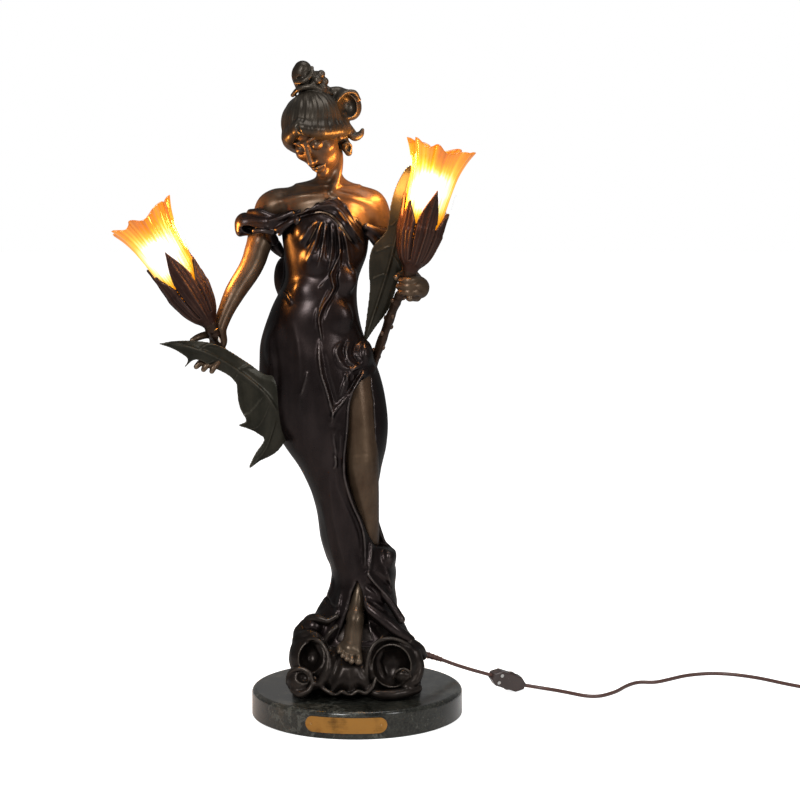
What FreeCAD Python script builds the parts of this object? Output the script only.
"""Figural table lamp: a bronze figure on a rock, holding two flower lights, on a round marble base.

Row frame: millimetres, +Z up, origin at the centre of the underside. -Y is the front, the side the
figure faces, and +X is the figure's own left, where the tall flower and the cord are.
"""
import FreeCAD
import Part
import bisect
import math
import os

V = FreeCAD.Vector
PARTS = "parts"

# ---------------------------------------------------------------- base, in mm
BASE_D = 240.0              # marble disc
BASE_H = 30.0
BASE_ROUND = 5.0            # rounded upper edge of the marble
BASE_FOOT_ROUND = 1.2       # broken lower edge of the marble
FELT_T = 1.5
FELT_INSET = 4.0            # felt stays this far inside the marble's edge
STUD_R = 4.0                # M8 stud that clamps rock to marble
STUD_CLEAR = 0.5            # radial room of the stud in the marble
NUT_FLATS = 13.0
NUT_H = 6.5
WASHER_R = 12.0
WASHER_T = 2.0
RECESS_R = 15.0             # counterbore under the marble
RECESS_H = 12.0
STUD_GRIP = 14.0            # thread length inside the rock's boss
STUD_BELOW = 1.5            # stud end shows below the nut
PLATE_W = 90.0              # blank brass plate on the marble's side
PLATE_H = 17.5
PLATE_T = 1.0
PLATE_Z = 16.5              # height of its middle above the table
PLATE_ANGLE = -5.0          # degrees from the front, towards -X
PIN_R = 1.3
PIN_SPREAD = 39.0           # pin distance from the plate's middle, along the plate
PIN_PROUD = 0.9

# ---------------------------------------------------------------- flower lights, along their own axis
CUP_FLOOR = 9.0
CUP_FOOT_R = 6.5
SEPAL_TIP = 80.0
SEPAL_NOTCH = 45.0
SEPALS = 6
NIPPLE_R = 5.0
NIPPLE_BORE = 3.2
NIPPLE_DOWN = 8.0           # nipple in the stalk
HOLDER_FOOT = 17.0
HOLDER_R = 12.5
HOLDER_TOP = 58.0
HOLDER_WELL_R = 7.6
HOLDER_WELL = 19.0
RING_Z = 33.0
RING_T = 3.0
RING_R = 17.6
CAP_R = 7.0
BULB_R = 13.5
BULB_TOP = 112.0
GLASS_T = 2.4
GLASS_TOP = 138.0
GLASS_NECK_R = 18.2
GLASS_MOUTH_R = 36.0
RUFFLE = 2.6                # wave of the glass lip, in radius
RUFFLES = 8
SEAT_GAP = 0.3              # room where one piece rests in another
CALYX_LINE = [(CUP_FOOT_R, 0), (8.5, 5), (13.5, 14), (18.5, 24), (21.4, 36), (23.6, 50), (25.6, 65), (28.0, SEPAL_TIP)]
GLASS_ROWS = [(RING_Z + RING_T, GLASS_NECK_R, 0.0), (50, 20.6, 0.0), (70, 22.2, 0.0), (92, 24.2, 0.1),
              (112, 27.0, 0.3), (127, 31.2, 0.65), (GLASS_TOP, GLASS_MOUTH_R, 1.0)]   # height, radius, share of wave

# ---------------------------------------------------------------- where the flowers stand and lean
LEFT_CUP = V(-158, -60, 450)
LEFT_LEAN = -33.0           # degrees from upright, towards +X is positive
RIGHT_CUP = V(60, -44, 508)
RIGHT_LEAN = 14.0
STALK_R = 5.0
STALK_BORE = 2.2
LEFT_STALK = [V(-144, -44, 412), V(-122, -24, 384), V(-94, -4, 362)]
RIGHT_STALK = [V(43, -24, 468), V(29.5, -2, 430), V(12, 24, 380)]
STALK_DROP = 12.0           # first stretch of a stalk, straight below its cup
LEFT_SPIN = 10.0
RIGHT_SPIN = 15.0
BLOCK_AT = V(-48, 14, 346)  # connector inside the skirt
BLOCK_SIZE = (18.0, 12.0, 12.0)

# ---------------------------------------------------------------- casting: z, left, right, front, back
HIP_Z = 430.0               # level where torso meets skirt
HEM_Z = 100.0               # level where skirt meets rock
ROCK_TOP = (HEM_Z, -57, 52, -50, 46)
ROCK = [(31.5, -80, 76, -70, 58), (45, -84, 76, -76, 62), (60, -72, 78, -68, 60), (80, -64, 66, -58, 54), ROCK_TOP]
ROCK_FLOOR = 52.0           # solid below this, where the stud grips
HIPS = (HIP_Z, -105, 7.5, -50, 49)
SKIRT = [ROCK_TOP, (119, -44, 46, -46, 43), (143, -29, 42, -42, 40), (168, -27, 42, -40, 38), (200, -38, 29, -38, 36),
         (240, -44, 20, -42, 36), (280, -60, 25, -50, 40), (310, -80, 32, -53, 45), (340, -97, 34, -54, 48),
         (376, -106, 29, -54, 50), (405, -107, 19, -53, 52), HIPS]
TORSO = [HIPS, (465, -93, 0, -47, 39), (495, -79, 0.5, -41, 31), (523, -79, 10, -39, 30), (545, -81, 14, -38, 29),
         (566, -85, 17, -36, 28), (585, -88, 16, -30, 27), (599, -66, 2, -20, 20)]
BREASTS = [V(-51, -27, 549), V(-13, -27, 553)]
BREAST_SIZE = (18.5, 17.5, 19.5)
SLIT_FLOOR = -14.0          # the slit is open in front of this depth
SLIT = [(14, 404), (5, 388), (-2, 375), (-6, 362), (-8, 332), (-11, 305), (-11, 282), (-6, 263), (0, 245), (7, 229), (12, 214),
        (20, 198), (44, 190), (46, 262), (25, 268), (21, 287), (21, 310), (20, 337), (19, 363), (16, 382)]
FOLD_R = 2.8                # half width of a raised fold
SLIT_FOLD = [(15, 401), (4, 385), (-7, 361), (-10, 332), (-13, 300), (-9, 263), (3, 230), (9, 205), (10, 180)]
FRONT_FOLD = [(-17, 529), (-26, 507), (-25, 489), (-34, 473), (-41, 456), (-39, 436)]
LOWER_FOLD = [(-39, 424), (-39, 405), (-33, 381), (-27, 357), (-24, 344)]
SWAG = [(-66, 569), (-47, 574), (-30, 578), (-17, 570), (-7, 556), (3, 538)]
HEM_FOLD = [(V(2, -42, 140), 5.0), (V(22, -50, 126), 6.0), (V(44, -52, 111), 6.4)]
WALL = 4.5                  # metal thickness of the hollow castings
HEAD_AT = V(-43, -15, 658)
HEAD_SIZE = (27, 33, 38)
HAIR_AT = V(-46, -8, 672)
HAIR_SIZE = (35, 38, 34)
KNOT_AT = V(-54, -4, 718)
KNOT_SIZE = (13, 13, 17)

# ---------------------------------------------------------------- mains lead
CORD_R = 2.2
SWITCH_AT = V(176, 92, 15.2)
SWITCH_L = 48.0
SWITCH_W = 19.0
SWITCH_T = 12.5
SWITCH_WALL = 1.8
WHEEL_R = 11.2
WHEEL_T = 4.4
WHEEL_SHIFT = 3.0           # wheel sits off the switch's middle, towards the plug
AXLE_R = 1.5
AXLE_CLEAR = 0.08
BUSH_R = 4.2                # sleeve where the lead leaves the rock
BUSH_L = 12.0
BUSH_FLANGE = 2.0
LEAD_WAY = V(0.811, 0.458, -0.362)
LEAD_R = 1.4                # inner leads to the lamps
LEAD_RUN_OUT = 10.0         # straight run of an inner lead past its stalk's end
COIL_AT = V(578, 128, 0)
COIL_IN_R = 15.5
COIL_PITCH = 4.9
COIL_TURNS = 3.75           # in each of the two layers
COIL_OUT = 27.0             # straight run from the coil to the plug
PLUG_L = 36.0
PLUG_PIN_R = 2.0
PLUG_PIN_L = 19.0
PLUG_PIN_GAP = 19.0
PLUG_PIN_ROUND = 1.4
PLUG_PIN_SUNK = 8.0         # length of a pin held in the plug

BASE_TOP = FELT_T + BASE_H


# ================================================================ tools
def save(name, shape):
    """Write one named node, and say how many solids it holds."""
    solids = shape.Solids
    if len(solids) == 0 or min(s.Volume for s in solids) <= 0.01:
        raise ValueError(name + " has no good solid")
    out = solids[0] if len(solids) == 1 else Part.makeCompound(solids)
    bad = "" if out.isValid() else "  NOT VALID"
    out.exportStep(os.path.join(PARTS, name + ".step"))
    print("%-18s solids %d  volume %9.0f%s" % (name, len(solids), out.Volume, bad))
    return out


def ring(points):
    """Closed smooth curve through points, as a wire."""
    curve = Part.BSplineCurve()
    curve.interpolate(Points=points, PeriodicFlag=True)
    return Part.Wire(curve.toShape())


def solid_loft(wires):
    """Smooth solid through closed wires."""
    made = Part.makeLoft(wires, True, False)
    if made.Volume < 0:
        made.reverse()
    return made


def level(z, left, right, front, back, count=14):
    """Horizontal oval outline at z that reaches left, right, front and back."""
    points = []
    for step in range(count):
        angle = math.radians(90 + 360.0 * step / count)
        points.append(V((left + right) / 2 + (right - left) / 2 * math.cos(angle),
                        (front + back) / 2 + (back - front) / 2 * math.sin(angle), z))
    return ring(points)


def stacked(levels, wall=0.0):
    """Smooth solid through (z, left, right, front, back) levels, drawn in by a wall."""
    return solid_loft([level(z, a + wall, b - wall, c + wall, d - wall) for z, a, b, c, d in levels])


def unit(vector):
    """Copy of a vector, one long."""
    made = V(vector)
    made.normalize()
    return made


def slices(path, side, count=8):
    """Closed outlines along a path of (point, half width, half depth); side is the width's direction."""
    wires = []
    for i, (at, wide, deep) in enumerate(path):
        before = path[max(i - 1, 0)][0]
        after = path[min(i + 1, len(path) - 1)][0]
        along = unit(after - before)
        across = unit(side - along * side.dot(along))
        depth = along.cross(across)
        points = []
        for step in range(count):
            angle = 2 * math.pi * step / count
            points.append(at + across * (wide * math.cos(angle)) + depth * (deep * math.sin(angle)))
        wires.append(ring(points))
    return wires


def limb(path, side=V(1, 0, 0), tip=False, root=False, count=8):
    """Smooth limb along (point, half width, half depth), with a rounded tip or root where asked."""
    path = [(V(p), w, d) for p, w, d in path]
    for wanted, last, inner in ((tip, -1, -2), (root, 0, 1)):
        if not wanted:
            continue
        at, wide, deep = path[last]
        way = unit(at - path[inner][0])
        reach = (wide + deep) / 2
        caps = []
        for share in (0.5, 0.85, 0.985):
            shrink = math.sqrt(1 - share * share)
            caps.append((at + way * (reach * share), wide * shrink, deep * shrink))
        path = path + caps if last == -1 else caps[::-1] + path
    return solid_loft(slices(path, side, count))


def even_limb(path, side=V(1, 0, 0), tip=False, root=False, count=8):
    """limb() for a path of (point, radius)."""
    return limb([(p, r, r) for p, r in path], side, tip, root, count)


def knuckled(points):
    """Chain of cones with a ball at each joint and at the end, through (point, radius)."""
    pieces = []
    for (a, wide), (b, slim) in zip(points, points[1:]):
        if wide > slim:
            pieces.append(Part.makeCone(wide, slim, (b - a).Length, a, b - a))
        else:
            pieces.append(Part.makeCylinder(wide, (b - a).Length, a, b - a))
        pieces.append(Part.makeSphere(slim * 1.04, b))
    return joined(pieces[0], pieces[1:])


def egg(at, half_x, half_y, half_z):
    """Ellipsoid."""
    ball = Part.makeSphere(1.0)
    grow = FreeCAD.Matrix()
    grow.scale(half_x, half_y, half_z)
    made = ball.transformGeometry(grow)
    made.translate(at)
    return made


def joined(first, others):
    """Fuse pieces one by one into one casting."""
    made = first
    for other in others:
        made = made.fuse(other)
    return made.Solids[0] if len(made.Solids) == 1 else made


def turned(profile):
    """Solid of revolution about Z from (radius, height) points joined by lines."""
    points = [V(r, 0, z) for r, z in profile]
    face = Part.Face(Part.makePolygon(points + [points[0]]))
    return face.revolve(V(0, 0, 0), V(0, 0, 1), 360)


def smooth_turned(outer, inner):
    """Solid of revolution whose outer and inner walls are smooth curves through (radius, height)."""
    walls = []
    for line in (outer, inner):
        curve = Part.BSplineCurve()
        curve.interpolate([V(r, 0, z) for r, z in line])
        walls.append(curve.toShape())
    rims = []
    for a, b in ((outer[0], inner[0]), (outer[-1], inner[-1])):
        rims.append(Part.LineSegment(V(a[0], 0, a[1]), V(b[0], 0, b[1])).toShape())
    wire = Part.Wire(Part.__sortEdges__([walls[0], rims[1], walls[1], rims[0]]))
    made = Part.Face(wire).revolve(V(0, 0, 0), V(0, 0, 1), 360)
    if made.Volume < 0:
        made.reverse()
    return made


def tube(inner_r, outer_r, low, high):
    """Plain ring or pipe about Z."""
    made = Part.makeCylinder(outer_r, high - low, V(0, 0, low))
    if inner_r <= 0:
        return made
    return made.cut(Part.makeCylinder(inner_r, high - low + 2, V(0, 0, low - 1)))


def rounded_route(points, share=0.45):
    """Straight runs joined by tangent arcs. Prints nothing; returns the wire, its least radius and length."""
    edges = []
    least = 1e9
    start = points[0]
    for before, corner, after in zip(points, points[1:], points[2:]):
        to_corner = unit(corner - before)
        onward = unit(after - corner)
        turn = to_corner.getAngle(onward)
        back = share * min((corner - before).Length, (after - corner).Length)
        radius = back / math.tan(turn / 2)
        least = min(least, radius)
        arc_in = corner - to_corner * back
        arc_out = corner + onward * back
        inward = unit(onward - to_corner)
        sagitta = radius / math.cos(turn / 2) - radius
        edges.append(Part.LineSegment(start, arc_in).toShape())
        edges.append(Part.Arc(arc_in, corner + inward * sagitta, arc_out).toShape())
        start = arc_out
    edges.append(Part.LineSegment(start, points[-1]).toShape())
    wire = Part.Wire(edges)
    return wire, least, wire.Length


def piped(wire, at, way, radius):
    """Round bar of that radius along a wire that starts at a point in a direction."""
    profile = Part.Wire(Part.Circle(at, way, radius).toShape())
    return wire.makePipeShell([profile], True, False)


def route_tube(points, radius):
    """Round bar along a rounded route, with its least bend radius and length."""
    wire, least, length = rounded_route(points)
    return piped(wire, points[0], unit(points[1] - points[0]), radius), least, length


def biarc(at, way, to, onward):
    """Two tangent arcs from a point and direction to another point and direction."""
    gap = to - at
    both = way + onward
    curve = 2 * (way.dot(onward) - 1)
    lin = -2 * gap.dot(both)
    const = gap.dot(gap)
    if abs(curve) < 1e-9:
        reach = const / (-lin)
    else:
        root = math.sqrt(lin * lin - 4 * curve * const)
        reach = max((-lin + root) / (2 * curve), (-lin - root) / (2 * curve))
    knot = (at + way * reach + to - onward * reach) * 0.5
    edges = []
    tangent = unit((to - onward * reach) - (at + way * reach))
    for a, t, b in ((at, way, knot), (knot, tangent, to)):
        chord = b - a
        lean = t.getAngle(chord)
        middle = a + unit(unit(chord) + t) * (chord.Length / (2 * math.cos(lean / 2)))
        edges.append(Part.Arc(a, middle, b).toShape())
    return edges


def placed(shape, at, lean, spin=0.0):
    """Copy of a shape made about its own Z axis, spun, leaned towards +X and moved to a point."""
    turn = FreeCAD.Rotation(V(0, 1, 0), lean).multiply(FreeCAD.Rotation(V(0, 0, 1), spin))
    made = shape.copy()
    made.Placement = FreeCAD.Placement(at, turn)
    return made


# ================================================================ base
def make_marble():
    """Marble disc with a rounded upper edge, a stud hole and a recess for the nut."""
    radius = BASE_D / 2
    low = FELT_T
    disc = Part.makeCylinder(radius, BASE_H, V(0, 0, low))
    upper = [e for e in disc.Edges if abs(e.BoundBox.ZMin - low - BASE_H) < 1e-6 and e.Curve.TypeId.endswith("Circle")]
    lower = [e for e in disc.Edges if abs(e.BoundBox.ZMax - low) < 1e-6 and e.Curve.TypeId.endswith("Circle")]
    disc = disc.makeFillet(BASE_ROUND, upper)
    lower = [e for e in disc.Edges if abs(e.BoundBox.ZMax - low) < 1e-6 and e.Length > radius]
    disc = disc.makeFillet(BASE_FOOT_ROUND, lower)
    hole = Part.makeCylinder(STUD_R + STUD_CLEAR, BASE_H + 2, V(0, 0, low - 1))
    recess = Part.makeCylinder(RECESS_R, RECESS_H + 1, V(0, 0, low - 1))
    return disc.cut(hole).cut(recess)


def plate_bend(radius, thick, width, height):
    """Slice of a pipe about Z, with round ends, that lies round the marble at the front."""
    wall = tube(radius, radius + thick, PLATE_Z - height / 2, PLATE_Z + height / 2)
    end_r = height / 2
    flat = Part.makeBox(width - 2 * end_r, radius + 20, height, V(-width / 2 + end_r, -radius - 20, PLATE_Z - end_r))
    ends = [Part.makeCylinder(end_r, radius + 20, V(s * (width / 2 - end_r), 0, PLATE_Z), V(0, -1, 0)) for s in (-1, 1)]
    return wall.common(joined(flat, ends))


def make_base():
    """Felt, marble, blank plate with its pins, and the stud, washer and nut that hold the casting."""
    felt = Part.makeCylinder(BASE_D / 2 - FELT_INSET, FELT_T)
    marble = make_marble()
    around = FreeCAD.Rotation(V(0, 0, 1), PLATE_ANGLE)
    plate = plate_bend(BASE_D / 2, PLATE_T, PLATE_W, PLATE_H)
    pins = []
    for side in (-1, 1):
        turn = math.degrees(side * PIN_SPREAD / (BASE_D / 2))
        out = BASE_D / 2 + PLATE_T + PIN_PROUD
        pin = Part.makeCylinder(PIN_R, 8 + PLATE_T + PIN_PROUD, V(0, -out, PLATE_Z), V(0, 1, 0))
        head = pin.Edges
        pin = pin.makeFillet(PIN_PROUD * 0.6, [e for e in head if abs(e.BoundBox.YMin + out) < 1e-6 and e.Closed][:1])
        pin.rotate(V(0, 0, 0), V(0, 0, 1), turn)
        pins.append(pin)
    for pin in pins:
        plate = plate.cut(pin)
    plate.rotate(V(0, 0, 0), V(0, 0, 1), PLATE_ANGLE)
    for pin in pins:
        pin.rotate(V(0, 0, 0), V(0, 0, 1), PLATE_ANGLE)
        marble = marble.cut(pin)
    top = BASE_TOP
    washer_z = FELT_T + RECESS_H - WASHER_T
    nut_z = washer_z - NUT_H
    low = nut_z - STUD_BELOW
    stud = Part.makeCylinder(STUD_R, top + STUD_GRIP - low, V(0, 0, low))
    washer = tube(STUD_R + STUD_CLEAR / 2, WASHER_R, washer_z, washer_z + WASHER_T)
    corner = NUT_FLATS / math.sqrt(3)
    hexagon = Part.makePolygon([V(corner * math.cos(math.radians(60 * k)), corner * math.sin(math.radians(60 * k)), nut_z)
                                for k in range(7)])
    nut = Part.Face(hexagon).extrude(V(0, 0, NUT_H)).cut(stud)
    save("felt_pad", felt)
    save("marble_base", marble)
    save("brass_plate", plate)
    save("plate_pins", Part.makeCompound(pins))
    save("fixing_stud", stud)
    save("fixing_washer", washer)
    save("fixing_nut", nut)
    return stud


# ================================================================ mains lead
def cord_frame():
    """Direction of the lead at the switch, and the switch's axle and width directions."""
    way = unit(LEAD_WAY)
    front = V(0, -1, 0)
    axle = unit(front - way * front.dot(way))
    return way, axle, axle.cross(way)


def lead_points():
    """Route from the rock's bushing to the switch."""
    way = unit(LEAD_WAY)
    end = SWITCH_AT - way * (SWITCH_L / 2)
    start = SWITCH_AT - way * 134.0
    one = SWITCH_AT - way * 104.0 + V(0, 0, 0.8)
    two = SWITCH_AT - way * 66.0 + V(0, 0, -1.6)
    return [start, one, two, end]


def tail_points():
    """Route on the table from the switch to where the coil begins."""
    way = unit(LEAD_WAY)
    start = SWITCH_AT + way * (SWITCH_L / 2)
    floor = CORD_R
    first_r = coil_radius(0)
    enter = COIL_AT + V(0, -first_r, floor)
    return [start,
            V(start.x + 18.0, start.y + 4.0, floor + 0.4),
            V(241, 90, floor),
            V(276, 58, floor),
            V(304, 84, floor),
            V(320, 116, floor),
            V(337, 136, floor),
            V(356, 131, floor),
            V(376, 148, floor),
            V(402, 171, floor),
            V(440, 181, floor),
            V(482, 160, floor),
            V(516, 122, floor),
            V(enter.x - 26, enter.y - 0.3, floor),
            enter]


def coil_radius(turns):
    """Distance from the coil's middle after so many turns: in over one layer, and out again over the next."""
    return COIL_IN_R + COIL_PITCH * abs(turns - COIL_TURNS - 0.25)


def coil_height(turns):
    """Height of the cord's middle after so many turns: the climb takes the half turn at the inside."""
    share = min(max((turns - COIL_TURNS) / 0.5, 0.0), 1.0)
    return CORD_R + COIL_PITCH * share


def coil_point(turns):
    """Point of the coil after so many turns from its start at the front."""
    angle = math.radians(-90) + 2 * math.pi * turns
    r = coil_radius(turns)
    return COIL_AT + V(r * math.cos(angle), r * math.sin(angle), coil_height(turns))


def coil_wire():
    """Quarter turns as pairs of arcs, in over one layer and out over the next, then a run to the plug."""
    total = 2 * COIL_TURNS + 0.5
    quarters = int(round(total * 4))
    marks = [k / 4.0 for k in range(quarters + 1)]
    edges = []
    ways = []
    for t in marks:
        step = 1e-4
        ways.append(unit(coil_point(min(t + step, total)) - coil_point(max(t - step, 0))))
    ways[0] = V(1, 0, 0)
    for i, t in enumerate(marks[:-1]):
        edges += biarc(coil_point(t), ways[i], coil_point(marks[i + 1]), ways[i + 1])
    last = coil_point(total)
    end = last + ways[-1] * COIL_OUT
    edges.append(Part.LineSegment(last, end).toShape())
    return Part.Wire(edges), end, ways[-1]


def coil_gap():
    """Least space between the cord and itself in the coil, measured on points."""
    total = 2 * COIL_TURNS + 0.5
    steps = int(total * 48)
    points = [coil_point(total * k / steps) for k in range(steps + 1)]
    least = 1e9
    for i, a in enumerate(points):
        for b in points[i + 24:]:
            least = min(least, (a - b).Length)
    return least - 2 * CORD_R


def make_switch(way, axle, across):
    """Two-part housing with a thumb wheel on an axle; the wheel shows through both long sides."""
    half = SWITCH_L / 2
    nose = 9.0
    slim = 3.6
    outline = [(-half, -slim), (-half + nose, -SWITCH_W / 2), (half - nose, -SWITCH_W / 2), (half, -slim),
               (half, slim), (half - nose, SWITCH_W / 2), (-half + nose, SWITCH_W / 2), (-half, slim)]

    def block(grow, low, high):
        """Outline shrunk by grow, between two depths; local X along the cord, Y across, Z the axle."""
        points = []
        for x, y in outline:
            points.append(V(x - math.copysign(grow, x), y - math.copysign(min(grow, abs(y) * 0.9), y), low))
        return Part.Face(Part.makePolygon(points + [points[0]])).extrude(V(0, 0, high - low))

    deep = SWITCH_T / 2
    front = block(0, 0, deep)
    edges = [e for e in front.Edges if abs(e.BoundBox.ZMin - deep) < 1e-6]
    front = front.makeFillet(1.6, edges)
    hollow = block(SWITCH_WALL, -1, deep - SWITCH_WALL)
    slot = Part.makeCylinder(WHEEL_R + 0.7, WHEEL_T / 2 + 0.4 + 1, V(WHEEL_SHIFT, 0, -1))
    ways_in = Part.makeCylinder(CORD_R + 0.05, SWITCH_L + 2, V(-half - 1, 0, 0), V(1, 0, 0))
    well = Part.makeCylinder(AXLE_R, deep - SWITCH_WALL / 2 + 1, V(WHEEL_SHIFT, 0, -1))
    post = tube(AXLE_R, AXLE_R + 1.6, WHEEL_T / 2 + 0.4, deep - SWITCH_WALL + 0.2)
    post.translate(V(WHEEL_SHIFT, 0, 0))
    screw_at = (-half + nose + 2.0, 4.6)
    boss = Part.makeCylinder(3.0, deep - SWITCH_WALL + 0.2, V(screw_at[0], screw_at[1], 0))
    boss = joined(boss, [Part.makeCylinder(3.0, deep - SWITCH_WALL + 0.2, V(screw_at[0], -screw_at[1], 0))])
    shell = front.cut(hollow).fuse(boss).fuse(post).cut(slot).cut(ways_in).cut(well)
    screws = []
    for side in (-1, 1):
        screw = Part.makeCylinder(1.2, SWITCH_T - 1.5, V(screw_at[0], side * screw_at[1], -deep + 1.5))
        head = Part.makeCylinder(2.1, 1.4, V(screw_at[0], side * screw_at[1], deep - 1.2))
        screws.append(screw.cut(Part.makeCylinder(3, 3, V(screw_at[0], side * screw_at[1], deep - 1.2))).fuse(head))
    back = shell.mirror(V(0, 0, 0), V(0, 0, 1))
    for screw in screws:
        shell = shell.cut(screw)
        back = back.cut(screw)
    wheel = Part.makeCylinder(WHEEL_R, WHEEL_T, V(WHEEL_SHIFT, 0, -WHEEL_T / 2))
    teeth = 36
    for k in range(teeth):
        angle = 2 * math.pi * k / teeth
        groove = Part.makeCylinder(0.5, WHEEL_T + 2, V(WHEEL_SHIFT + (WHEEL_R + 0.15) * math.cos(angle),
                                                       (WHEEL_R + 0.15) * math.sin(angle), -WHEEL_T / 2 - 1))
        wheel = wheel.cut(groove)
    wheel = wheel.cut(Part.makeCylinder(AXLE_R + AXLE_CLEAR, WHEEL_T + 2, V(WHEEL_SHIFT, 0, -WHEEL_T / 2 - 1)))
    pin_half = deep - SWITCH_WALL / 2
    pin = Part.makeCylinder(AXLE_R, 2 * pin_half, V(WHEEL_SHIFT, 0, -pin_half))
    turn = FreeCAD.Rotation(way, across, axle, "ZXY")
    spot = FreeCAD.Placement(SWITCH_AT, turn)
    for name, shape in (("switch_front", shell), ("switch_back", back), ("switch_wheel", wheel), ("switch_axle", pin),
                        ("switch_screws", Part.makeCompound(screws))):
        shape.Placement = spot
        save(name, shape)
    hub = spot.multVec(V(WHEEL_SHIFT, 0, 0))
    print("wheel hub", [round(c, 3) for c in hub], "axle", [round(c, 5) for c in turn.multVec(V(0, 0, 1))])


def make_plug(at, way):
    """Flat two-pin plug, lying on the table; its cord end is at a point, facing back along way."""
    shape = []
    for x, wide, high in ((0, 5.0, 4.2), (7, 6.0, 5.0), (12, 10.5, 6.2), (24, 16.5, 6.8), (PLUG_L, 17.5, 6.8)):
        points = []
        for k in range(16):
            a = 2 * math.pi * k / 16
            c, s = math.cos(a), math.sin(a)
            points.append(V(x, wide * math.copysign(abs(c) ** 0.55, c), high * math.copysign(abs(s) ** 0.55, s)))
        shape.append(ring(points))
    body = solid_loft(shape)
    pins = []
    for side in (-1, 1):
        at_face = V(PLUG_L, side * PLUG_PIN_GAP / 2, 0)
        pin = Part.makeCylinder(PLUG_PIN_R, PLUG_PIN_L, at_face, V(1, 0, 0))
        tip = [e for e in pin.Edges if e.Closed and abs(e.BoundBox.XMin - PLUG_L - PLUG_PIN_L) < 1e-6]
        pin = pin.makeFillet(PLUG_PIN_ROUND, tip)
        pin = pin.fuse(Part.makeCylinder(PLUG_PIN_R * 0.8, PLUG_PIN_SUNK, at_face, V(-1, 0, 0)))
        pins.append(pin)
        body = body.cut(pin)
    side = V(0, 0, 1).cross(way)
    spot = FreeCAD.Placement(at, FreeCAD.Rotation(way, side, V(0, 0, 1), "XYZ"))
    for name, made in (("plug_body", body), ("plug_pins", Part.makeCompound(pins))):
        made.Placement = spot
        save(name, made)
    for side in (-1, 1):
        mouth = spot.multVec(V(PLUG_L + (PLUG_PIN_L - PLUG_PIN_ROUND) / 2, side * PLUG_PIN_GAP / 2, 0))
        print("plug pin middle", [round(c, 3) for c in mouth], "way", [round(c, 5) for c in way])


def make_cord():
    """The lead to the switch, the stretch on the table, the coil and the plug."""
    way, axle, across = cord_frame()
    for name, points in (("cord_lead", lead_points()), ("cord_tail", tail_points())):
        bar, least, length = route_tube(points, CORD_R)
        full = math.pi * CORD_R ** 2 * length
        print("%s length %.1f least radius %.1f volume ratio %.4f" % (name, length, least, bar.Volume / full))
        save(name, bar)
    wire, end, onward = coil_wire()
    coil = piped(wire, coil_point(0), V(1, 0, 0), CORD_R)
    print("cord_coil length %.1f gap to itself %.2f volume ratio %.4f"
          % (wire.Length, coil_gap(), coil.Volume / (math.pi * CORD_R ** 2 * wire.Length)))
    save("cord_coil", coil)
    make_switch(way, axle, across)
    make_plug(end, onward)


# ================================================================ rock and figure
def flower_envelope():
    """Space of a calyx and its glass, for what grows close by to stay out of."""
    line = CALYX_LINE + [(r + RUFFLE * wave + SEAT_GAP, z) for z, r, wave in GLASS_ROWS if z > SEPAL_TIP + 5]
    return smooth_turned(line, [(0.0, z) for r, z in line])


def cord_exit():
    """Point on the rock where the mains lead leaves it."""
    return lead_points()[0]


def make_rock(stud):
    """Wave-worn rock under the figure, hollow above its floor, with a shell lobe and two scrolls in front."""
    shell_lobe = egg(V(-14, -50, 56), 34, 31, 32)
    left_scroll = egg(V(-62, -42, 58), 21, 26, 34)
    right_scroll = egg(V(50, -40, 56), 26, 26, 32)
    rock = joined(stacked(ROCK), [shell_lobe, left_scroll, right_scroll])
    rock = rock.cut(Part.makeBox(400, 400, 60, V(-200, -200, BASE_TOP - 60)))
    rock = rock.cut(Part.makeBox(400, 400, 60, V(-200, -200, HEM_Z)))
    hollow = stacked(ROCK, WALL + 1.5)
    hollow = hollow.cut(Part.makeBox(400, 400, ROCK_FLOOR, V(-200, -200, 0)))
    return rock.cut(hollow).cut(stud)


def make_bushing():
    """Flanged sleeve where the mains lead leaves the rock, and the hole for it."""
    way = unit(LEAD_WAY)
    exit_at = cord_exit()
    sleeve = Part.makeCylinder(BUSH_R, BUSH_L, exit_at - way * BUSH_L, way)
    flange = Part.makeCylinder(BUSH_R + 1.8, BUSH_FLANGE, exit_at - way * BUSH_FLANGE, way)
    bore = Part.makeCylinder(CORD_R, BUSH_L + 2, exit_at - way * (BUSH_L + 1), way)
    hole = Part.makeCylinder(BUSH_R, 3 * BUSH_L, exit_at - way * (2 * BUSH_L), way)
    recess = Part.makeCylinder(BUSH_R + 1.8, BUSH_L, exit_at - way * BUSH_FLANGE, way)
    return sleeve.fuse(flange).cut(bore), hole.fuse(recess)


def stalk_route(cup, lean, points):
    """Route of a stalk: straight down from its cup, then through its points."""
    axis = placed_axis(lean)
    return [cup, cup - axis * STALK_DROP] + points


def placed_axis(lean):
    """Direction that a flower points in."""
    return V(math.sin(math.radians(lean)), 0, math.cos(math.radians(lean)))


def make_stalk(cup, lean, points):
    """Bored stalk from a cup down into the skirt; returns it with the solid bar that it was cut from."""
    bar, least, length = route_tube(stalk_route(cup, lean, points), STALK_R)
    bore, _, _ = route_tube(stalk_route(cup, lean, points), STALK_BORE)
    print("stalk length %.1f least radius %.1f" % (length, least))
    thread = placed(Part.makeCylinder(NIPPLE_R, NIPPLE_DOWN, V(0, 0, -NIPPLE_DOWN)), cup, lean)
    return bar.cut(bore).cut(thread), bar


def make_lead(cup, lean, points, onward, block):
    """Lead in a stalk, from the lamp holder to the connector in the skirt."""
    axis = placed_axis(lean)
    out = points[-1] + unit(points[-1] - points[-2]) * LEAD_RUN_OUT
    bar, _, _ = route_tube(stalk_route(cup, lean, points)[:-1] + [out] + onward, LEAD_R)
    upper = Part.makeCylinder(LEAD_R, HOLDER_FOOT, cup, axis)
    return bar.fuse(upper).removeSplitter().cut(block)


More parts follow.
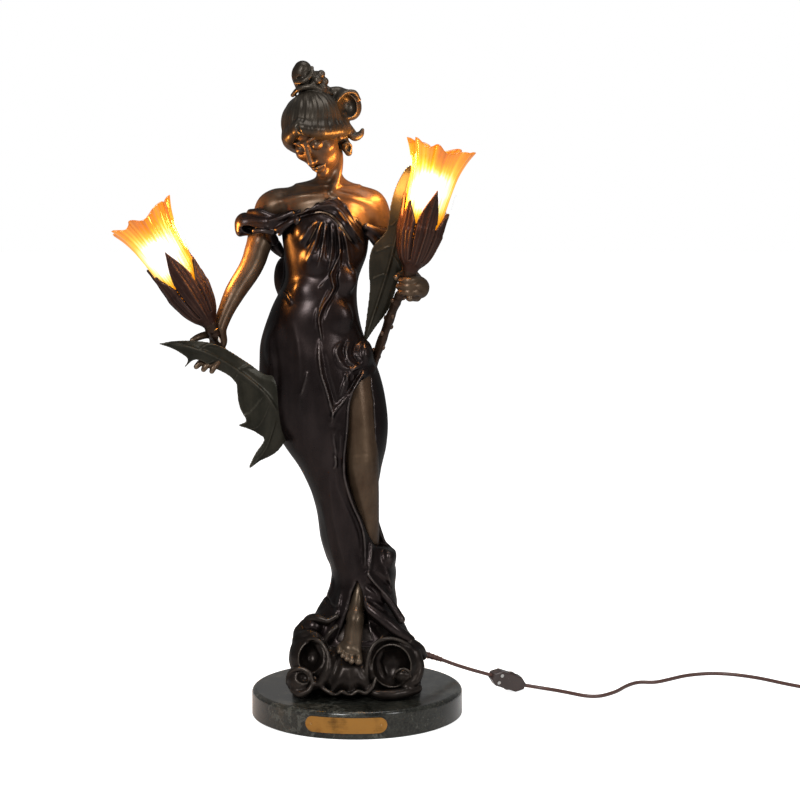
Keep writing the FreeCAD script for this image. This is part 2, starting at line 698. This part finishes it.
def front_point(rows, x, z):
    """Point on the front of a stacked form, at x and z."""
    heights = [row[0] for row in rows]
    above = min(max(bisect.bisect_left(heights, z), 1), len(rows) - 1)
    low, high = rows[above - 1], rows[above]
    share = (z - low[0]) / (high[0] - low[0])
    left, right, front, back = [a + (b - a) * share for a, b in zip(low[1:], high[1:])]
    off = min(abs(x - (left + right) / 2) / ((right - left) / 2), 0.995)
    return V(x, (front + back) / 2 - (back - front) / 2 * math.sqrt(1 - off * off), z)


def fold(rows, line, radius=FOLD_R):
    """Raised fold of cloth along (x, z) points on the front of a stacked form, half sunk in it."""
    points = [front_point(rows, x, z) for x, z in line]
    return knuckled([(p, radius) for p in points])


def make_skirt(leg, bars):
    """Hollow skirt with its slit, its folds and the swag at its hem, cut for the leg and the stalks."""
    cavity = [(z + dz, a, b, c, d) for (z, a, b, c, d), dz in zip(SKIRT, [-1] + [0] * (len(SKIRT) - 2) + [1])]
    slit = Part.makePolygon([V(x, SLIT_FLOOR, z) for x, z in SLIT + SLIT[:1]])
    slit = Part.Face(slit).extrude(V(0, -100, 0))
    skirt = joined(stacked(SKIRT), [fold(SKIRT, LOWER_FOLD), knuckled(HEM_FOLD)])
    skirt = skirt.cut(slit).fuse(fold(SKIRT, SLIT_FOLD)).cut(stacked(cavity, WALL))
    for other in [leg] + bars:
        skirt = skirt.cut(other)
    return max(skirt.Solids, key=lambda s: s.Volume)


def make_torso(neck):
    """Hollow bodice with breasts, the folds of its cloth, and the neck."""
    cavity = [(z + dz, a, b, c, d) for (z, a, b, c, d), dz in zip(TORSO[:-2], [-1, 0, 0, 0, 0, 0])]
    torso = joined(stacked(TORSO), [egg(at, *BREAST_SIZE) for at in BREASTS])
    torso = torso.fuse(fold(TORSO, FRONT_FOLD))
    swag = knuckled([(front_point(TORSO, x, z) + V(0, -1.5 - 9.0 * math.exp(-((z - 556) / 16.0) ** 2), 0), FOLD_R) for x, z in SWAG])
    return torso.fuse(swag).cut(stacked(cavity, WALL)).fuse(neck)


def make_hand(palm, fingers, thumb):
    """Palm with fingers and a thumb, each given as points with a radius."""
    return joined(palm, [knuckled(f) for f in fingers + [thumb]])


def make_right_arm():
    """Arm on the -X side, reaching down and forward to the leaf, with its hand."""
    arm = limb([(V(-86, 4, 584), 18, 18), (V(-103, 3, 560), 18, 18), (V(-109, -4, 533), 15, 16),
                (V(-117, -16, 510), 14.5, 15), (V(-133, -31, 484), 13.5, 14), (V(-149, -46, 452), 9.5, 10),
                (V(-151, -56, 430), 14, 8), (V(-149, -62, 414), 14, 7)], tip=True)
    fingers = []
    for knuckle, tip in ((V(-158, -60, 420), V(-166, -66, 410)), (V(-152, -63, 415), V(-155, -68, 402)),
                         (V(-144, -62, 413), V(-139, -66, 393)), (V(-140, -58, 415), V(-128, -60, 380))):
        middle = (knuckle + tip) * 0.5 + V(-1, -3, 1)
        fingers.append([(knuckle, 4.6), (middle, 4.3), (tip, 3.4)])
    thumb = [(V(-159, -52, 436), 5.0), (V(-168, -60, 424), 4.6), (V(-170, -68, 414), 3.8)]
    return make_hand(arm, fingers, thumb)


def make_left_arm():
    """Arm on the +X side, held back, with the hand closed round the stalk from behind."""
    arm = limb([(V(10, 2, 586), 17, 17), (V(26, 7, 558), 15.5, 15.5), (V(38, 14, 530), 13.5, 13.5),
                (V(52, 6, 507), 11, 11), (V(65, -13, 495), 8.5, 9.5), (V(70, -34, 489), 7.5, 12)],
               side=V(0.7, 0.7, 0))
    fingers = []
    for row in range(4):
        z = 499.5 - 7.4 * row
        fingers.append([(V(71, -30, z), 3.7), (V(70, -47, z), 3.6), (V(58, -52, z - 1), 3.4), (V(48, -47, z - 2), 2.9)])
    thumb = [(V(66, -24, 499), 4.6), (V(52, -27, 503), 4.3), (V(45, -36, 500), 3.5)]
    return make_hand(arm, fingers, thumb)


def make_leg():
    """Leg seen in the slit of the skirt, hollow."""
    line = [(V(-8, -14, 404), 27), (V(-1, -20, 360), 27), (V(3, -26, 318), 24), (V(5, -28, 284), 20.5),
            (V(8, -18, 252), 18), (V(12, -8, 222), 15), (V(13, -2, 200), 11.5)]
    outer = even_limb(line, tip=True, root=True)
    return outer.cut(even_limb([(p, r - WALL) for p, r in line], tip=True, root=True))


def make_foot():
    """Bare foot at the front, toes down on the rock."""
    return limb([(V(2, -30, 146), 10, 10), (V(-3, -46, 118), 9, 11), (V(-5, -62, 96), 11, 10),
                 (V(-4, -74, 82), 11.5, 6.5), (V(-2, -81, 76), 9.5, 4.2)], tip=True, root=True)


def make_sleeves():
    """Two bands of cloth that lie off the shoulders."""
    right = limb([(V(-92, 4, 580), 21, 24), (V(-106, 3, 569), 25, 27), (V(-112, 1, 556), 25, 27),
                  (V(-113, -1, 546), 20, 22)])
    left = limb([(V(13, 1, 580), 18, 24), (V(26, 4, 568), 23, 28), (V(33, 10, 552), 23, 27), (V(37, 14, 538), 19, 21)])
    return right, left


def make_head():
    """Neck and bowed head, and the hair with its knot."""
    neck = even_limb([(V(-28, 2, 592), 17), (V(-28, 0, 604), 14.5), (V(-31, -3, 620), 14), (V(-36, -8, 640), 15)])
    head = egg(HEAD_AT, *HEAD_SIZE)
    jaw = egg(HEAD_AT + V(-2, -14, -20), 17, 16, 19)
    hair = egg(HAIR_AT, *HAIR_SIZE)
    knot = egg(KNOT_AT, *KNOT_SIZE)
    neck_of_knot = even_limb([(KNOT_AT - V(-6, 2, 22), 16), (KNOT_AT - V(0, 0, 4), 10)])
    loop = egg(V(-11, 2, 694), 15, 12, 13)
    curl = egg(V(-6, 0, 664), 11, 10, 11)
    return neck, head.fuse(jaw), joined(hair, [neck_of_knot, knot, loop, curl])


def leaf_plate(outline, origin, run, thick):
    """Flat blade: outline points are (x, z) seen from the front; run is how y changes with x, z as (x, z) pair."""
    points = [V(x, origin.y + run[0] * (x - origin.x) + run[1] * (z - origin.z), z) for x, z in outline]
    normal = unit(V(-run[0], 1, -run[1]))
    flat = Part.makePolygon(points + [points[0]])
    return Part.Face(flat).extrude(normal * thick)


def make_leaves():
    """The long leaf under the right hand, and the tall blade beside the right flower."""
    hip = leaf_plate([(-213, 432), (-192, 438), (-170, 434), (-148, 429), (-121, 411), (-102, 396), (-86, 388),
                      (-74, 360), (-74, 330), (-84, 302), (-104, 292), (-121, 285), (-105, 315), (-131, 333),
                      (-121, 341), (-131, 349), (-124, 362), (-133, 374), (-136, 388), (-146, 400), (-160, 410),
                      (-173, 413), (-185, 404), (-180, 415), (-197, 425)],
                     V(-96, -38, 380), (0.41, 0.0), 3.0)
    blade = leaf_plate([(64, 626), (52, 616), (42, 597), (36, 575), (33, 550), (16, 530), (13, 510), (15, 485),
                        (9, 440), (8, 424), (24, 445), (37, 464), (46, 490), (54, 520), (62, 560), (65, 596)],
                       V(30, -24, 540), (0.0, -0.2), 2.6)
    return hip, blade


def make_figure(stud):
    """The rock, the figure, her hair, dress and limbs, the leaves and stalks, and the leads inside."""
    bushing, bush_hole = make_bushing()
    rock = make_rock(stud).cut(bush_hole)
    save("rock_base", rock)
    save("cord_bushing", bushing)
    left_stalk, left_bar = make_stalk(LEFT_CUP, LEFT_LEAN, LEFT_STALK)
    right_stalk, right_bar = make_stalk(RIGHT_CUP, RIGHT_LEAN, RIGHT_STALK)
    leg = make_leg()
    foot = make_foot()
    skirt = make_skirt(leg, [left_bar, right_bar])
    leg = leg.cut(left_bar).cut(right_bar)
    neck, head, hair = make_head()
    torso = make_torso(neck)
    hip, blade = make_leaves()
    hip = hip.cut(skirt).cut(left_bar)
    hip = max(hip.Solids, key=lambda s: s.Volume)
    right_arm = make_right_arm().cut(torso).cut(left_bar).cut(hip)
    left_arm = make_left_arm().cut(torso).cut(right_bar)
    right_arm = max(right_arm.Solids, key=lambda s: s.Volume)
    left_arm = max(left_arm.Solids, key=lambda s: s.Volume)
    right_sleeve, left_sleeve = make_sleeves()
    right_sleeve = right_sleeve.cut(torso).cut(right_arm)
    left_sleeve = left_sleeve.cut(torso).cut(left_arm)
    blade = blade.cut(placed(flower_envelope(), RIGHT_CUP, RIGHT_LEAN)).cut(skirt).cut(torso).cut(left_arm).cut(left_sleeve).cut(right_bar)
    head = head.cut(torso)
    hair = hair.cut(head).cut(torso)
    foot = foot.cut(skirt).cut(rock)
    for name, shape in (("left_stalk", left_stalk), ("right_stalk", right_stalk), ("figure_skirt", skirt),
                        ("figure_torso", torso), ("left_leg", leg), ("right_foot", foot), ("right_arm", right_arm),
                        ("left_arm", left_arm), ("right_sleeve", right_sleeve), ("left_sleeve", left_sleeve),
                        ("figure_head", head), ("figure_hair", hair), ("hip_leaf", hip), ("tall_leaf", blade)):
        biggest = max(shape.Solids, key=lambda s: s.Volume)
        save(name, biggest)


# ================================================================ flower lights
def make_cup():
    """Calyx: a bowl with a bored foot whose wall rises into pointed sepals."""
    core = smooth_turned(CALYX_LINE, [(0.0, z) for r, z in CALYX_LINE])
    line = [(6.0, CUP_FLOOR), (12.0, 15), (16.2, 24), (19.2, 36), (21.3, 50), (23.3, 65), (25.8, SEPAL_TIP)]
    inside = smooth_turned(line, [(0.0, z) for r, z in line])
    top = Part.makeCylinder(60, 20, V(0, 0, SEPAL_TIP))
    cup = core.cut(inside).cut(top)
    for k in range(SEPALS):
        notch = Part.makePolygon([V(0, -0.5, SEPAL_NOTCH), V(0, 0.5, SEPAL_NOTCH), V(0, 12.6, SEPAL_TIP + 1),
                                  V(0, -12.6, SEPAL_TIP + 1), V(0, -0.5, SEPAL_NOTCH)])
        wedge = Part.Face(notch).extrude(V(60, 0, 0))
        wedge.rotate(V(0, 0, 0), V(0, 0, 1), 360.0 * (k + 0.5) / SEPALS)
        cup = cup.cut(wedge)
    return cup.cut(Part.makeCylinder(NIPPLE_R, 40, V(0, 0, -20)))


def make_glass():
    """Trumpet glass with a waved lip, open at its neck."""
    walls = []
    for inset in (0.0, GLASS_T):
        wires = []
        for z, r, wave in GLASS_ROWS:
            points = []
            for k in range(4 * RUFFLES):
                a = 2 * math.pi * k / (4 * RUFFLES)
                radius = r - inset + RUFFLE * wave * math.cos(RUFFLES * a)
                points.append(V(radius * math.cos(a), radius * math.sin(a), z))
            wires.append(ring(points))
        walls.append(solid_loft(wires))
    return walls[0].cut(walls[1])


def make_flower(side, cup_at, lean, spin):
    """One flower light in its own frame along Z, leaned and placed at its stalk's top."""
    cup = make_cup()
    nipple = tube(NIPPLE_BORE, NIPPLE_R, -NIPPLE_DOWN, HOLDER_FOOT)
    nut = tube(NIPPLE_R, 8.2, CUP_FLOOR + 2.4, CUP_FLOOR + 5.4)
    collar = tube(NIPPLE_R, 5.9, CUP_FLOOR, CUP_FLOOR + 2.4)
    holder = turned([(0, HOLDER_FOOT), (9.0, HOLDER_FOOT), (HOLDER_R, HOLDER_FOOT + 6), (HOLDER_R, RING_Z - 2.5),
                     (HOLDER_R + 1.8, RING_Z - 2.5), (HOLDER_R + 1.8, RING_Z), (HOLDER_R, RING_Z),
                     (HOLDER_R, HOLDER_TOP), (0, HOLDER_TOP)])
    holder = holder.cut(Part.makeCylinder(HOLDER_WELL_R, HOLDER_WELL + 1, V(0, 0, HOLDER_TOP - HOLDER_WELL)))
    shade_ring = tube(HOLDER_R, RING_R, RING_Z, RING_Z + RING_T)
    cap_low = HOLDER_TOP - HOLDER_WELL
    cap = turned([(0, cap_low), (3.0, cap_low), (3.4, cap_low + 2.4), (CAP_R, cap_low + 4.4), (CAP_R, HOLDER_TOP + 2),
                  (0, HOLDER_TOP + 2)])
    bulb_line = [(CAP_R - 0.6, HOLDER_TOP + 2), (10.6, HOLDER_TOP + 10), (BULB_R, HOLDER_TOP + 24),
                 (BULB_R * 0.86, HOLDER_TOP + 38), (5.2, BULB_TOP - 5), (1.2, BULB_TOP)]
    bulb = smooth_turned(bulb_line, [(0.0, z) for r, z in bulb_line])
    pieces = (("calyx", cup), ("nipple", nipple), ("nipple_nut", nut), ("nipple_collar", collar), ("lamp_holder", holder),
              ("shade_ring", shade_ring), ("bulb_cap", cap), ("bulb_glass", bulb), ("glass_shade", make_glass()))
    made = {}
    for name, shape in pieces:
        made[name] = save(side + "_" + name, placed(shape, cup_at, lean, spin))
    return made


def make_inner_leads():
    """Connector in the skirt, the leads up to both lamp holders, and the mains lead from the bushing."""
    block = Part.makeBox(*BLOCK_SIZE, BLOCK_AT - V(*BLOCK_SIZE) * 0.5)
    save("lead_connector", block)
    left = make_lead(LEFT_CUP, LEFT_LEAN, LEFT_STALK, [BLOCK_AT + V(-2, 0, 0)], block)
    right = make_lead(RIGHT_CUP, RIGHT_LEAN, RIGHT_STALK, [V(-13, 23, 350), BLOCK_AT + V(2, 0, 0)], block)
    save("left_lead", max(left.Solids, key=lambda s: s.Volume))
    save("right_lead", max(right.Solids, key=lambda s: s.Volume))
    start = cord_exit()
    way = unit(LEAD_WAY)
    route = [start, start - way * 40, V(8, 14, 112), V(4, 20, 160), V(-14, 20, 220), V(-38, 16, 286),
             BLOCK_AT + V(0, 0, -BLOCK_SIZE[2] / 2)]
    bar, least, length = route_tube(route, CORD_R)
    print("mains_inner_lead length %.1f least radius %.1f" % (length, least))
    save("mains_inner_lead", bar.cut(block))


def main():
    """Make every node."""
    os.makedirs(PARTS, exist_ok=True)
    stud = make_base()
    make_figure(stud)
    make_flower("left", LEFT_CUP, LEFT_LEAN, LEFT_SPIN)
    make_flower("right", RIGHT_CUP, RIGHT_LEAN, RIGHT_SPIN)
    make_inner_leads()
    make_cord()


main()
